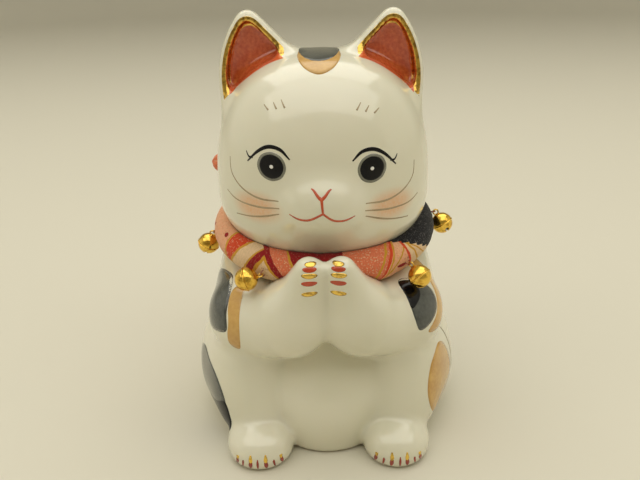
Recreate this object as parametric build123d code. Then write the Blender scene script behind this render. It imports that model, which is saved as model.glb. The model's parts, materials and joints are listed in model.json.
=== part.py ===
from build123d import *
import math
import os

# Ceramic cat figurine with a tied fabric collar and four sewn-on bells.
# Millimetres, +Z up, the cat faces -Y, origin under the middle of the base.

# Driving dimensions of the porcelain
BODY_HALF_WIDTH = 49.5
HALF_DEPTH = 54.0
TRUNK_RADIUS = 41.0
NECK_RADIUS = 27.0
HEAD_RADIUS = 37.0
HEAD_CENTRE = (0, -2, 90)
HEAD_RISE = 46.5
HEAD_DROP = 25.0
HEAD_SQUARENESS = 2.5
WALL = 4.0
VENT_RADIUS = 5.0

# Driving dimensions of the collar, a stuffed tube tilted up towards the nape
COLLAR_RADIUS = 35.0
COLLAR_TUBE = 6.3
COLLAR_CENTRE = (0, 2, 72)
COLLAR_TILT = 6.0
COLLAR_GAP_HALF_ANGLE = 12.0
CLOTH = 0.5
SEAT_CLEARANCE = 0.3

# Driving dimensions of a bell
BELL_RADIUS = 4.0
BELL_WALL = 0.35
BELL_LIP = 0.22
SLOT_WIDTH = 0.9
SLOT_HALF_SPAN = 2.6
SLOT_END_RADIUS = 0.8
PELLET_RADIUS = 1.2
PELLET_CLEARANCE = 0.05
SHANK_WIRE = 0.3
SHANK_RING = 1.0
THREAD = 0.22
THREAD_ARCH = 0.9
THREAD_REACH = 1.9
THREAD_FOOT_GAP = 0.15
THREAD_PLAY = 0.1

# Where each bell hangs: azimuth round the collar, height angle round the tube,
# sideways lean from straight down, and tilt away from the collar (degrees)
BELLS = {
    "side_left": (181, -25, -5, 48),
    "front_left": (240, -5, -76, 33),
    "front_right": (313, -6, 6, 55),
    "side_right": (367, 4, -22, 24),
}


def ball(centre, radius):
    """A sphere at a point."""
    return Pos(*centre) * Sphere(radius)


def sides(solid):
    """A solid and its mirror image across the plane of symmetry."""
    return solid + mirror(solid, about=Plane.YZ)


def limb(start, end, start_radius, end_radius):
    """A round cone: two balls joined by the cone that touches both."""
    axis = Vector(*end) - Vector(*start)
    length = axis.length
    lean = math.asin((start_radius - end_radius) / length)

    def on_ball(radius, height, angle):
        return (radius * math.cos(angle), 0, height + radius * math.sin(angle))

    low_mid = (lean - math.pi / 2) / 2
    high_mid = (lean + math.pi / 2) / 2
    low = ThreePointArc(
        (0, 0, -start_radius),
        on_ball(start_radius, 0, low_mid),
        on_ball(start_radius, 0, lean),
    )
    high = ThreePointArc(
        on_ball(end_radius, length, lean),
        on_ball(end_radius, length, high_mid),
        (0, 0, length + end_radius),
    )
    side = Line(low @ 1, high @ 0)
    core = Line(high @ 1, low @ 0)
    face = make_face([low, side, high, core])
    turned = revolve(face, Axis.Z)
    return Plane(origin=start, z_dir=axis) * turned


def polar_mid(pole, edge):
    """Middle point of the arc from a pole to an edge point, centred on the axis."""
    drop = pole[1] - edge[1]
    radius = (edge[0] ** 2 + drop**2) / (2 * drop)
    half = math.asin(edge[0] / abs(radius)) / 2
    return (abs(radius) * math.sin(half), pole[1] - radius * (1 - math.cos(half)))


def egg(half_width, rise, drop):
    """A squarish egg, turned about its upright axis from four arcs."""
    power = 2 / HEAD_SQUARENESS
    corner = math.sin(math.pi / 4) ** power
    waist = math.cos(math.pi / 8) ** power
    flank = math.sin(math.pi / 8) ** power
    middle = (half_width, 0)
    pieces = []
    for height in (rise, -drop):
        edge = (half_width * corner, height * corner)
        pole = (0, height)
        between = (half_width * waist, height * flank)
        pieces.append(ThreePointArc(middle, between, edge))
        pieces.append(ThreePointArc(edge, polar_mid(pole, edge), pole))
    pieces.append(Line((0, rise), (0, -drop)))
    section = Plane.XZ * make_face(pieces)
    return Pos(*HEAD_CENTRE) * revolve(section, Axis.Z)


def ear_outline(inset):
    """Front view of an ear: an outer arc, a slanting inner edge and a round tip."""
    arc_x, arc_z, arc_radius = 0.6, 127.0, 34.6
    slant = 126.6
    foot = 102.0
    tip_radius = 4.5
    disc = Pos(arc_x, arc_z) * Circle(arc_radius - inset)
    reach = 60
    keep = Polygon(
        (3, foot),
        (reach, foot),
        (reach, slant + reach - inset * math.sqrt(2)),
        (3, slant + 3 - inset * math.sqrt(2)),
        align=None,
    )
    face = disc & keep
    tip = face.vertices().sort_by(Axis.Y)[-1]
    return fillet(tip, tip_radius - inset * 0.6)


def ear():
    """An upright ear, thick at its foot, with a shallow recess in its front."""
    middle = 1.0
    thick_foot, thick_tip = 11.0, 3.0
    tip_z, foot_z = 150.0, 102.0
    recess_depth = 0.6
    rim = 2.9
    plate = extrude(Plane.XZ * ear_outline(0), thick_foot, both=True)
    wedge = Polygon(
        (-thick_foot, foot_z),
        (thick_foot, foot_z),
        (thick_tip, tip_z),
        (-thick_tip, tip_z),
        align=None,
    )
    wedge = extrude(Plane.YZ * wedge, 60)
    blade = Pos(0, middle, 0) * (plate & wedge)
    pocket = extrude(Plane.XZ * ear_outline(rim), 2 * thick_foot)
    pocket = Pos(0, middle - recess_depth, 0) * pocket
    return blade - pocket


def trunk_profile(inset, floor):
    """Side line of the round trunk, from its base to the neck."""
    widest = TRUNK_RADIUS - inset
    top = NECK_RADIUS - inset
    side = ThreePointArc((widest - 3.5, floor), (widest, 26), (top, 64))
    rest = Polyline((top, 64), (top, 84), (0, 84), (0, floor), (widest - 3.5, floor))
    return Plane.XZ * make_face([side, rest])


def trunk(inset=0.0, floor=0.0):
    """The round trunk and neck, turned about an upright axis."""
    return Pos(0, 3.5, 0) * revolve(trunk_profile(inset, floor), Axis.Z)


def body_bulk(inset=0.0, floor=0.0):
    """Trunk, belly and haunches, drawn in by the inset."""
    haunch_radius = 25.0
    haunch_middle = BODY_HALF_WIDTH - haunch_radius
    haunch = limb((haunch_middle, 9, 20), (26, -19, 17), haunch_radius - inset, 22 - inset)
    belly = limb((0, -13, 10), (0, -9, 34), 31 - inset, 29 - inset)
    return trunk(inset, floor) + belly + sides(haunch)


def legs_and_tail():
    """Shins, feet and the bobbed tail."""
    toe_radius = 11.5
    tail_radius = 9.0
    shin = limb((24, -27, 30), (24, -32, 12), 12, 11)
    foot = limb((24.3, -30, 5), (24.3, toe_radius - HALF_DEPTH, 4), 12, toe_radius)
    tail = ball((0, HALF_DEPTH - tail_radius, 14), tail_radius)
    return sides(shin + foot) + tail


def arms():
    """Arms folded across the chest with the two paws raised together."""
    upper_arm = limb((27, 2, 55), (27, -19, 46), 13.5, 13.4)
    forearm = limb((25, -27, 46.5), (11, -38, 51), 13.5, 12)
    paw = limb((7, -45.5, 57), (6.2, -47.2, 74), 6.8, 5.0)
    return sides(upper_arm) + sides(forearm) + sides(paw)


def head():
    """Head with its muzzle and ears."""
    skull = egg(HEAD_RADIUS, HEAD_RISE, HEAD_DROP)
    muzzle = limb((-8, -32.6, 84.5), (8, -32.6, 84.5), 8, 7.999)
    return skull + muzzle + sides(ear())


def collar_torus(tube, start=0.0, arc=360.0):
    """The collar's ring, or a stretch of it, with the given tube radius."""
    section = Plane.XZ * Pos(COLLAR_RADIUS, 0) * Circle(tube)
    ring = Rot(0, 0, start) * revolve(section, Axis.Z, arc)
    return Pos(*COLLAR_CENTRE) * Rot(COLLAR_TILT, 0, 0) * ring


def casting_cavity():
    """The hollow that slip casting leaves in the body and the head."""
    floor = 5.0
    inner_head = egg(HEAD_RADIUS - WALL - 0.5, HEAD_RISE - WALL, HEAD_DROP - WALL)
    return body_bulk(WALL, floor) - everything_below(floor) + inner_head


def everything_below(height):
    """A block that fills all space under a level."""
    return Pos(0, 0, height - 50) * Box(300, 300, 100)


def porcelain_body():
    """The glazed casting: one hollow shell with a vent hole in its flat base."""
    cast = body_bulk() + legs_and_tail() + arms() + head()
    cast -= everything_below(0)
    cast -= casting_cavity()
    cast -= Cylinder(VENT_RADIUS, 40)
    return cast - collar_torus(COLLAR_TUBE + SEAT_CLEARANCE)


def collar_parts():
    """Cloth tube, its stuffing, the knot at the nape and the two tied ends."""
    start = 90 + COLLAR_GAP_HALF_ANGLE
    arc = 360 - 2 * COLLAR_GAP_HALF_ANGLE
    fit = 0.05
    stuffing_tube = COLLAR_TUBE - CLOTH - fit
    cover = collar_torus(COLLAR_TUBE, start, arc)
    cover -= collar_torus(COLLAR_TUBE - CLOTH, start, arc)
    stuffing = collar_torus(stuffing_tube, start, arc)
    knot_ends = ((-3, 39.5, 76.5), (3, 39.5, 77))
    knot_radius = 7.6
    knot = limb(*knot_ends, knot_radius, knot_radius + 0.001)
    knot -= collar_torus(COLLAR_TUBE + fit, start - 0.1, arc + 0.2)
    knot -= egg(HEAD_RADIUS + SEAT_CLEARANCE, HEAD_RISE, HEAD_DROP + SEAT_CLEARANCE)
    knot -= trunk(-SEAT_CLEARANCE)
    bulk = limb(*knot_ends, knot_radius + fit, knot_radius + fit + 0.001)
    left = limb((-7, 45, 78), (-42.5, 45, 83), 3.6, 5.2) - bulk
    right = limb((7, 45.5, 78), (37, 46.5, 80), 3.6, 5.0) - bulk
    return {
        "collar_cover": cover,
        "collar_stuffing": stuffing,
        "collar_knot": knot,
        "collar_tail_left": left,
        "collar_tail_right": right,
    }


def turned(vector, axis, degrees):
    """A vector turned about an axis through the origin."""
    return vector.rotate(Axis((0, 0, 0), tuple(axis)), degrees)


def bell_frame(azimuth, height, lean, tilt):
    """Anchor on the collar, thread pivot, bell centre and the three directions."""
    around = math.radians(azimuth)
    up = math.radians(height)
    out = Vector(math.cos(around), math.sin(around), 0)
    side = Vector(-math.sin(around), math.cos(around), 0)
    normal = out * math.cos(up) + Vector(0, 0, 1) * math.sin(up)
    down = out * math.sin(up) - Vector(0, 0, 1) * math.cos(up)
    tilted = []
    for vector in (out, side, normal, down):
        tilted.append(turned(vector, Vector(1, 0, 0), COLLAR_TILT))
    out, side, normal, down = tilted
    angle = math.radians(lean)
    hang = down * math.cos(angle) + side * math.sin(angle)
    pin = side * math.cos(angle) - down * math.sin(angle)
    away = math.radians(tilt)
    axis = hang * math.cos(away) + normal * math.sin(away)
    tube_middle = Vector(*COLLAR_CENTRE) + out * COLLAR_RADIUS
    anchor = tube_middle + normal * COLLAR_TUBE
    pivot = anchor + normal * THREAD_REACH
    ring_offset = SHANK_RING - SHANK_WIRE - THREAD - THREAD_PLAY
    ring = pivot + axis * ring_offset
    centre = ring + axis * (SHANK_RING + BELL_RADIUS - SHANK_WIRE / 2)
    return anchor, pivot, ring, centre, normal, pin, axis


def thread_loop(anchor, normal, pin):
    """The sewing thread's free loop: two legs and a round arch."""
    shoulder = THREAD_REACH - THREAD_ARCH
    path = Line((-THREAD_ARCH, THREAD_FOOT_GAP), (-THREAD_ARCH, shoulder))
    path += ThreePointArc(
        (-THREAD_ARCH, shoulder),
        (0, THREAD_REACH),
        (THREAD_ARCH, shoulder),
    )
    path += Line((THREAD_ARCH, shoulder), (THREAD_ARCH, THREAD_FOOT_GAP))
    section = Plane(origin=(-THREAD_ARCH, THREAD_FOOT_GAP, 0), z_dir=(0, 1, 0))
    loop = sweep(section * Circle(THREAD), path=path)
    place = Plane(origin=anchor, x_dir=pin, z_dir=pin.cross(normal))
    return place * loop


def bell_parts(frame):
    """Shank, two half shells and the pellet, placed along the bell's axis."""
    anchor, pivot, ring, centre, normal, pin, axis = frame
    place = Plane(origin=centre, x_dir=pin, z_dir=-axis)
    ring_height = (centre - ring).length
    shank = Pos(0, 0, ring_height) * Rot(0, 90, 0) * Torus(SHANK_RING, SHANK_WIRE)
    shell = Sphere(BELL_RADIUS) - Sphere(BELL_RADIUS - BELL_WALL)
    half = Box(20, 20, 10)
    top = (shell & Pos(0, 0, 5) * half) - shank
    bottom = shell & Pos(0, 0, -5) * half
    bottom += Pos(0, 0, -BELL_LIP) * Torus(BELL_RADIUS, BELL_LIP)
    bottom -= Sphere(BELL_RADIUS - BELL_WALL)
    slit = Pos(0, 0, -5) * Box(2 * SLOT_HALF_SPAN, SLOT_WIDTH, 10)
    bottom -= slit
    for end in (-SLOT_HALF_SPAN, SLOT_HALF_SPAN):
        bottom -= Pos(end, 0, -5) * Cylinder(SLOT_END_RADIUS, 10)
    run = BELL_RADIUS - BELL_WALL - PELLET_RADIUS - PELLET_CLEARANCE
    pellet = Pos(0, 0, -run) * Sphere(PELLET_RADIUS)
    return {
        "shank": place * shank,
        "top_shell": place * top,
        "bottom_shell": place * bottom,
        "pellet": place * pellet,
    }


def build():
    """Every node of the figurine by name."""
    nodes = {"porcelain_body": porcelain_body()}
    nodes.update(collar_parts())
    for name, hang in BELLS.items():
        frame = bell_frame(*hang)
        anchor, normal, pin = frame[0], frame[4], frame[5]
        nodes[name + "_thread_loop"] = thread_loop(anchor, normal, pin)
        for piece, solid in bell_parts(frame).items():
            nodes[name + "_bell_" + piece] = solid
    return nodes


def print_hangings():
    """The points and directions that each bell's joints turn about."""
    labels = ("anchor", "pivot", "ring", "centre", "normal", "pin", "axis")
    for name, hang in BELLS.items():
        for label, value in zip(labels, bell_frame(*hang)):
            print(name, label, [round(number, 5) for number in value])


os.makedirs("parts", exist_ok=True)
for node, solid in build().items():
    export_step(solid, "parts/" + node + ".step")
print_hangings()
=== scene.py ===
import json
import math
import bpy
import numpy as np
from mathutils import Matrix, Vector


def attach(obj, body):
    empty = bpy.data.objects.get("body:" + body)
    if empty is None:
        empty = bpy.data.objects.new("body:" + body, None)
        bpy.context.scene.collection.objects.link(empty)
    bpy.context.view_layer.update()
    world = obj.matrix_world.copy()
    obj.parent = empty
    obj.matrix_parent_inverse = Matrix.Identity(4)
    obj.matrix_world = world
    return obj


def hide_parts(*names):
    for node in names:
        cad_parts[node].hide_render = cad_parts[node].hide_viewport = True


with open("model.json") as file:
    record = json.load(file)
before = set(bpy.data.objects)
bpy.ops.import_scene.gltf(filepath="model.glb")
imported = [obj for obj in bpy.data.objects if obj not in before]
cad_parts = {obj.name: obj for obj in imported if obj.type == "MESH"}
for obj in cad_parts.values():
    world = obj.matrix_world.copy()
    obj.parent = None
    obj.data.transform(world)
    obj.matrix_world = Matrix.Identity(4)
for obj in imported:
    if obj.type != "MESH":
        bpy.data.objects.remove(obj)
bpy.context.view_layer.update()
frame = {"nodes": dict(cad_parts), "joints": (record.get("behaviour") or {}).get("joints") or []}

# Ceramic cat figurine. Shapes are worked out in millimetres and built in metres.
MM = 0.001

# ------------------------------------------------------------ distance helpers


def ellipsoid(points, centre, radii):
    """Distance from points to an ellipsoid's surface, negative inside."""
    offset = points - np.array(centre, float)
    radii = np.array(radii, float)
    near = np.linalg.norm(offset / radii, axis=-1) + 1e-9
    slope = np.linalg.norm(offset / radii**2, axis=-1) + 1e-9
    return near * (near - 1) / slope


def limb(points, start, end, start_radius, end_radius):
    """Distance to two balls joined by the cone that touches both."""
    start = np.array(start, float)
    along = np.array(end, float) - start
    length2 = along @ along
    taper = start_radius - end_radius
    side2 = length2 - taper * taper
    offset = points - start
    rise = offset @ along
    rest = rise - length2
    across = offset * length2 - rise[..., None] * along
    across2 = (across * across).sum(-1)
    rise2 = rise * rise * length2
    rest2 = rest * rest * length2
    limit = np.sign(taper) * taper * taper * across2
    distance = (np.sqrt(across2 * side2 / length2) + rise * taper) / length2 - start_radius
    at_start = np.sign(rise) * side2 * rise2 < limit
    at_end = np.sign(rest) * side2 * rest2 > limit
    distance = np.where(at_start, np.sqrt(across2 + rise2) / length2 - start_radius, distance)
    return np.where(at_end, np.sqrt(across2 + rest2) / length2 - end_radius, distance)


def egg(points, centre, half_width, half_depth, rise, drop, squareness):
    """Distance to a squarish egg, round from above and superelliptic from the side."""
    offset = points - np.array(centre, float)
    height = np.where(offset[..., 2] > 0, rise, drop)
    wide = offset[..., 0] / half_width
    deep = offset[..., 1] / half_depth
    flat = np.sqrt(wide**2 + deep**2) + 1e-9
    tall = np.abs(offset[..., 2]) / height + 1e-9
    size = (flat**squareness + tall**squareness) ** (1 / squareness)
    tilt = (wide / half_width) ** 2 + (deep / half_depth) ** 2
    flat_slope = flat ** (2 * squareness - 4) * tilt
    tall_slope = tall ** (2 * squareness - 2) / height**2
    slope = size ** (1 - squareness) * np.sqrt(flat_slope + tall_slope) + 1e-9
    return (size - 1) / slope


def blend_in(one, two, reach):
    """Union of two bodies with a soft fillet."""
    mix = np.maximum(reach - np.abs(one - two), 0) / reach
    return np.minimum(one, two) - mix * mix * reach / 4


def blend_out(one, two, reach):
    """Common part of two bodies with a soft edge."""
    return -blend_in(-one, -two, reach)


def rising(value, low, high):
    """Smooth step from 0 below low to 1 above high."""
    place = np.clip((value - low) / (high - low), 0, 1)
    return place * place * (3 - 2 * place)


def both_sides(points):
    """Points folded onto the +X side, for what the cat has twice."""
    folded = points.copy()
    folded[..., 0] = np.abs(folded[..., 0])
    return folded


# ------------------------------------------------------------ the cat's shape

# Ellipsoids of the casting: middle and radii
TRUNK = ((0, 5, 30), (42, 38, 40))
BELLY = ((0, -12, 14), (27.5, 34.5, 33))
HAUNCH = ((25, -4, 19), (24.5, 33, 27))
FOOT = ((24.3, -40.8, 4.5), (12, 13.2, 9.2))
MUZZLE = ((0, -33.2, 91.6), (13, 10.6, 10))
TAIL = ((0, 45, 14), (8.5, 9, 9))
TRUNK_HOLLOW = ((0, 5, 30), (38, 34, 36))

# Round limbs of the casting: start, end and the radius at each
SHIN = ((25.5, -26, 31), (25, -31, 12), 13, 12)
NECK = ((0, 2, 58), (0, 2, 80), 27, 26.9)
SHOULDER = ((27, 3, 54.5), (27.6, -18, 46.5), 13.2, 13.8)
FOREARM = ((25.5, -26, 45.8), (12.5, -36.5, 50.3), 13.7, 12.6)
PAW = ((9.5, -41, 58), (5.5, -47, 74), 9.8, 4.8)
NECK_HOLLOW = ((0, 2, 50), (0, 2, 78), 22, 21.9)

# The skull and its hollow: middle, half width, half depth, rise, drop and squareness
SKULL = ((0, -2, 90), 38, 36, 46.5, 25, 2.5)
SKULL_HOLLOW = ((0, -2, 90), 33.5, 31.5, 42, 20.5, 2.5)

# Fillets where the soft masses of the body meet, and round the base
SOFT_FILLET = 10
NECK_FILLET = 6
BASE_EDGE = 1.2

# The hollow's floor, and the vent hole's radius and depth
FLOOR = 5
VENT_RADIUS = 5
VENT_DEPTH = 20

# The ears: where the blade stands, the outer arc's middle and radius, the height at which the
# inner edge would reach the middle, the height at which the blade is thinnest, the roundness
# of its edge and the width of its rim
EAR_MIDDLE = 1.0
EAR_ARC = (0.6, 127.3)
EAR_ARC_RADIUS = 34.6
EAR_SLANT = 126.9
EAR_THIN = 151
EAR_ROUND = 2.4
EAR_RIM = 2.9

COLLAR_RADIUS = 35.0
COLLAR_TUBE = 6.3
COLLAR_CENTRE = np.array([0, 2, 72], float)
COLLAR_TILT = math.radians(6)


def ear_outline(across, up, inset):
    """Front view of an ear: outer arc, slanting inner edge and rounded tip."""
    outer = np.hypot(across - EAR_ARC[0], up - EAR_ARC[1]) - (EAR_ARC_RADIUS - inset)
    inner = (up - across - EAR_SLANT) / math.sqrt(2) + inset
    return blend_out(blend_out(outer, inner, 6 - inset * 0.6), 100 - up, 2)


def slab(flat, thick, rounding):
    """A plate with rounded edges from its outline and its faces."""
    outside = np.hypot(np.maximum(flat, 0), np.maximum(thick, 0))
    return outside + np.minimum(np.maximum(flat, thick), 0) - rounding


def ear(folded):
    """One upright ear with its shallow inner recess."""
    across, up = folded[..., 0], folded[..., 2]
    depth = folded[..., 1] - EAR_MIDDLE
    half = 0.5 + 0.17 * (EAR_THIN - up)
    blade = slab(ear_outline(across, up, 0) + EAR_ROUND, np.abs(depth) - half, EAR_ROUND)
    floor = depth - (0.02 * (140 - up) - 0.6)
    recess = slab(ear_outline(across, up, EAR_RIM) + 1, floor, 1)
    return blend_out(blade, -recess, 1.2)


def lower_body(points, folded):
    """Trunk, belly, haunches, shins and feet."""
    shape = blend_in(ellipsoid(points, *TRUNK), ellipsoid(points, *BELLY), SOFT_FILLET)
    shape = blend_in(shape, ellipsoid(folded, *HAUNCH), SOFT_FILLET)
    crease = 2.5 + 8.5 * rising(folded[..., 0], 20, 33)
    shape = blend_in(shape, limb(folded, *SHIN), crease)
    return blend_in(shape, ellipsoid(folded, *FOOT), 2.5)


def arms(points):
    """Arms across the chest, flaring softly up into the raised paws."""
    joined = points.copy()
    joined[..., 0] = np.sqrt(points[..., 0] ** 2 + 3.0)
    shape = blend_in(limb(joined, *SHOULDER), limb(joined, *FOREARM), SOFT_FILLET)
    return blend_in(shape, limb(joined, *PAW), SOFT_FILLET)


def head(points, folded):
    """Skull, soft muzzle and ears."""
    shape = blend_in(egg(points, *SKULL), ellipsoid(points, *MUZZLE), 6)
    return blend_in(shape, ear(folded), 5)


def cat_surface(points):
    """Outside of the casting, standing on its flat base."""
    folded = both_sides(points)
    shape = blend_in(lower_body(points, folded), limb(points, *NECK), NECK_FILLET)
    crease = 2.2 + 7 * rising(points[..., 2] + 0.35 * points[..., 1], 36, 50)
    shape = blend_in(shape, arms(points), crease)
    shape = blend_in(shape, head(points, folded), 2)
    shape = blend_in(shape, ellipsoid(points, *TAIL), 5)
    return blend_out(shape, -points[..., 2], BASE_EDGE)


def cat_hollow(points):
    """The hollow left by slip casting, and the vent hole through the base."""
    trunk = ellipsoid(points, *TRUNK_HOLLOW)
    hollow = blend_in(trunk, limb(points, *NECK_HOLLOW), NECK_FILLET)
    hollow = blend_in(hollow, egg(points, *SKULL_HOLLOW), 3)
    hollow = blend_out(hollow, FLOOR - points[..., 2], 2)
    shaft = np.hypot(points[..., 0], points[..., 1]) - VENT_RADIUS
    vent = blend_out(shaft, points[..., 2] - VENT_DEPTH, 1)
    return blend_in(hollow, vent, 1.5)


def casting(points):
    """The whole porcelain wall."""
    return blend_out(cat_surface(points), -cat_hollow(points), 0.6)


# Half the span over which a slope is felt, and the longest move towards a surface
FEELER = 0.05
LONGEST_MOVE = 1.5


def slope(field, points):
    """Gradient of a distance field."""
    columns = []
    for axis in np.eye(3) * FEELER:
        columns.append((field(points + axis) - field(points - axis)) / (2 * FEELER))
    return np.stack(columns, -1)


def settle(field, points, rounds):
    """Move points onto a surface along its gradient."""
    for _ in range(rounds):
        gradient = slope(field, points)
        steep = np.maximum((gradient**2).sum(-1), 1e-3)
        move = (field(points) / steep)[:, None] * gradient
        points = points - np.clip(move, -LONGEST_MOVE, LONGEST_MOVE)
    return points


def normals(field, points):
    """Unit normals of a distance field."""
    gradient = slope(field, points)
    return gradient / (np.linalg.norm(gradient, axis=-1)[:, None] + 1e-12)


def skin(field, low, high, step):
    """A quad mesh of a distance field: one point in each cell that it crosses."""
    axes = [np.arange(low[i], high[i], step) for i in range(3)]
    lattice = np.stack(np.meshgrid(*axes, indexing="ij"), -1)
    values = np.stack([field(layer) for layer in lattice])
    inside = values < 0
    shape = np.array(values.shape) - 1
    corners = [(i, j, k) for i in (0, 1) for j in (0, 1) for k in (0, 1)]

    def shifted(corner):
        return tuple(slice(c, c + n) for c, n in zip(corner, shape))

    filled = sum(inside[shifted(corner)].astype(np.int8) for corner in corners)
    active = (filled > 0) & (filled < 8)
    cells = np.argwhere(active)
    number = -np.ones(shape, np.int64)
    number[active] = np.arange(len(cells))
    total = np.zeros((len(cells), 3))
    count = np.zeros(len(cells))
    for corner in corners:
        for axis in range(3):
            if corner[axis]:
                continue
            other = np.array(corner)
            other[axis] = 1
            first = values[tuple((cells + corner).T)]
            second = values[tuple((cells + other).T)]
            crossed = (first < 0) != (second < 0)
            place = np.tile(np.array(corner, float), (len(cells), 1))
            place[:, axis] = np.where(crossed, first / (first - second + 1e-30), 0)
            total[crossed] += place[crossed]
            count[crossed] += 1
    points = (cells + total / count[:, None]) * step + np.array(low)
    quads = []
    for axis in range(3):
        side, up = (axis + 1) % 3, (axis + 2) % 3
        one = [slice(None)] * 3
        two = [slice(None)] * 3
        one[axis] = slice(0, -1)
        two[axis] = slice(1, None)
        edges = np.argwhere(inside[tuple(one)] != inside[tuple(two)])
        leaving = inside[tuple(one)][tuple(edges.T)]

        def cell(back_side, back_up):
            moved = edges.copy()
            moved[:, side] -= back_side
            moved[:, up] -= back_up
            return number[tuple(moved.T)]

        faces = np.stack([cell(1, 1), cell(0, 1), cell(0, 0), cell(1, 0)], 1)
        faces[~leaving] = faces[~leaving][:, ::-1]
        quads.append(faces)
    return points, np.concatenate(quads)


def even_out(field, points, quads, rounds):
    """Relax a quad mesh along its surface so that highlights run smoothly."""
    ring = np.concatenate([quads, np.roll(quads, -1, 1)], 0)
    ends = np.concatenate([np.roll(quads, -1, 1), quads], 0)
    for _ in range(rounds):
        total = np.zeros_like(points)
        count = np.zeros(len(points))
        np.add.at(total, ring.ravel(), points[ends.ravel()])
        np.add.at(count, ring.ravel(), 1)
        points = settle(field, 0.4 * points + 0.6 * total / count[:, None], 1)
    return settle(field, points, 2)


# ------------------------------------------------------------ making pieces


def placed(name, data):
    """A new object in the scene, at the origin."""
    thing = bpy.data.objects.new(name, data)
    bpy.context.scene.collection.objects.link(thing)
    return thing


def dress(piece, material, body):
    """Give a piece smooth shading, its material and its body."""
    piece.data.shade_smooth()
    piece.data.materials.clear()
    piece.data.materials.append(material)
    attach(piece, body)


def new_piece(name, points, faces, material, body):
    """A piece from points in millimetres."""
    mesh = bpy.data.meshes.new(name)
    faces = [[int(i) for i in face] for face in faces]
    mesh.from_pydata((np.asarray(points) * MM).tolist(), [], faces)
    mesh.validate()
    piece = placed(name, mesh)
    dress(piece, material, body)
    return piece


def join_shells(shells):
    """Points and faces of several shells as one."""
    points, faces, start = [], [], 0
    for shell_points, shell_faces in shells:
        points.append(shell_points)
        faces += [[i + start for i in face] for face in shell_faces]
        start += len(shell_points)
    return np.concatenate(points), faces


def smooth_line(points, samples, closed=False):
    """A Catmull-Rom curve through points, evenly spread over its spans."""
    points = np.array(points, float)
    if closed:
        padded = np.concatenate([points[-1:], points, points[:2]])
        spans = len(points)
    else:
        first = 2 * points[0] - points[1]
        last = 2 * points[-1] - points[-2]
        padded = np.concatenate([[first], points, [last]])
        spans = len(points) - 1
    place = np.linspace(0, spans, samples, endpoint=not closed)
    index = np.minimum(place.astype(int), spans - 1)
    t = (place - index)[:, None]
    a, b, c, d = (padded[index + i] for i in range(4))
    square = (2 * a - 5 * b + 4 * c - d) * t**2
    cube = (3 * b - a - 3 * c + d) * t**3
    return 0.5 * (2 * b + (c - a) * t + square + cube)


# Rays start this far out and walk inwards by a share of the distance left
RAY_START = 85
RAY_REACH = 140
RAY_SHARE = 0.7
RAY_STEPS = 90


def cast(starts, directions):
    """Where rays from outside first meet the porcelain."""
    travel = np.zeros(len(starts))
    for _ in range(RAY_STEPS):
        distance = cat_surface(starts + directions * travel[:, None])
        travel = np.minimum(travel + np.maximum(distance, -1) * RAY_SHARE, RAY_REACH)
    return settle(cat_surface, starts + directions * travel[:, None], 2)


def around(axis_y):
    """Places given as (degrees from the front towards +X, height)."""

    def locate(places):
        angle = np.radians(places[:, 0])
        outward = np.stack([np.sin(angle), -np.cos(angle), 0 * angle], -1)
        middle = np.stack([0 * angle, 0 * angle + axis_y, places[:, 1]], -1)
        return cast(middle + outward * RAY_START, -outward)

    return locate


def from_front(places):
    """Places given as (x, z) seen from the front."""
    starts = np.stack([places[:, 0], 0 * places[:, 0] - 75, places[:, 1]], -1)
    return cast(starts, np.tile([0.0, 1.0, 0.0], (len(starts), 1)))


def from_above(places):
    """Places given as (x, y) seen from above."""
    starts = np.stack([places[:, 0], places[:, 1], 0 * places[:, 0] + 160], -1)
    return cast(starts, np.tile([0.0, 0.0, -1.0], (len(starts), 1)))


# How far paint stands on the glaze and how deep it is sunk, and a stroke's section:
# places across its width and the share of its thickness there
PAINT = 0.05
UNDER = 0.06
ACROSS = (-0.5, -0.3, 0, 0.3, 0.5)
DOMED = (0.3, 0.9, 1, 0.9, 0.3)
EDGE = 0.2


def coat(surface, lift, rim):
    """Top and bottom points of a coat of paint over points of the glaze."""
    normal = normals(cat_surface, surface)
    return np.concatenate([surface + normal * lift * rim[:, None], surface - normal * UNDER])


def stroke(points, widths, locate, lift=PAINT):
    """A brush stroke on the glaze: a thin closed ribbon that swells and tapers."""
    samples = max(10, 5 * len(points))
    line = locate(smooth_line(points, samples))
    width = smooth_line(np.array(widths, float)[:, None], samples)[:, 0]
    side = np.cross(normals(cat_surface, line), np.gradient(line, axis=0))
    side /= np.linalg.norm(side, axis=1)[:, None] + 1e-12
    columns = []
    for place in ACROSS:
        columns.append(settle(cat_surface, line + side * (place * width)[:, None], 2))
    surface = np.stack(columns, 1).reshape(-1, 3)
    faces = grid_faces(samples, len(ACROSS))
    return coat(surface, lift, np.tile(DOMED, samples)), faces


def grid_faces(rows, columns):
    """Faces of a closed sheet whose top and bottom are grids of points."""
    count = rows * columns
    faces = []
    for i in range(rows - 1):
        for j in range(columns - 1):
            a = i * columns + j
            quad = [a, a + 1, a + columns + 1, a + columns]
            faces += [quad, [count + k for k in reversed(quad)]]
    border = list(range(columns))
    border += [columns * (i + 1) - 1 for i in range(1, rows)]
    border += [count - 1 - j for j in range(1, columns)]
    border += [columns * i for i in range(rows - 2, 0, -1)]
    for a, b in zip(border, border[1:] + border[:1]):
        faces.append([b, a, count + a, count + b])
    return faces


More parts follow.
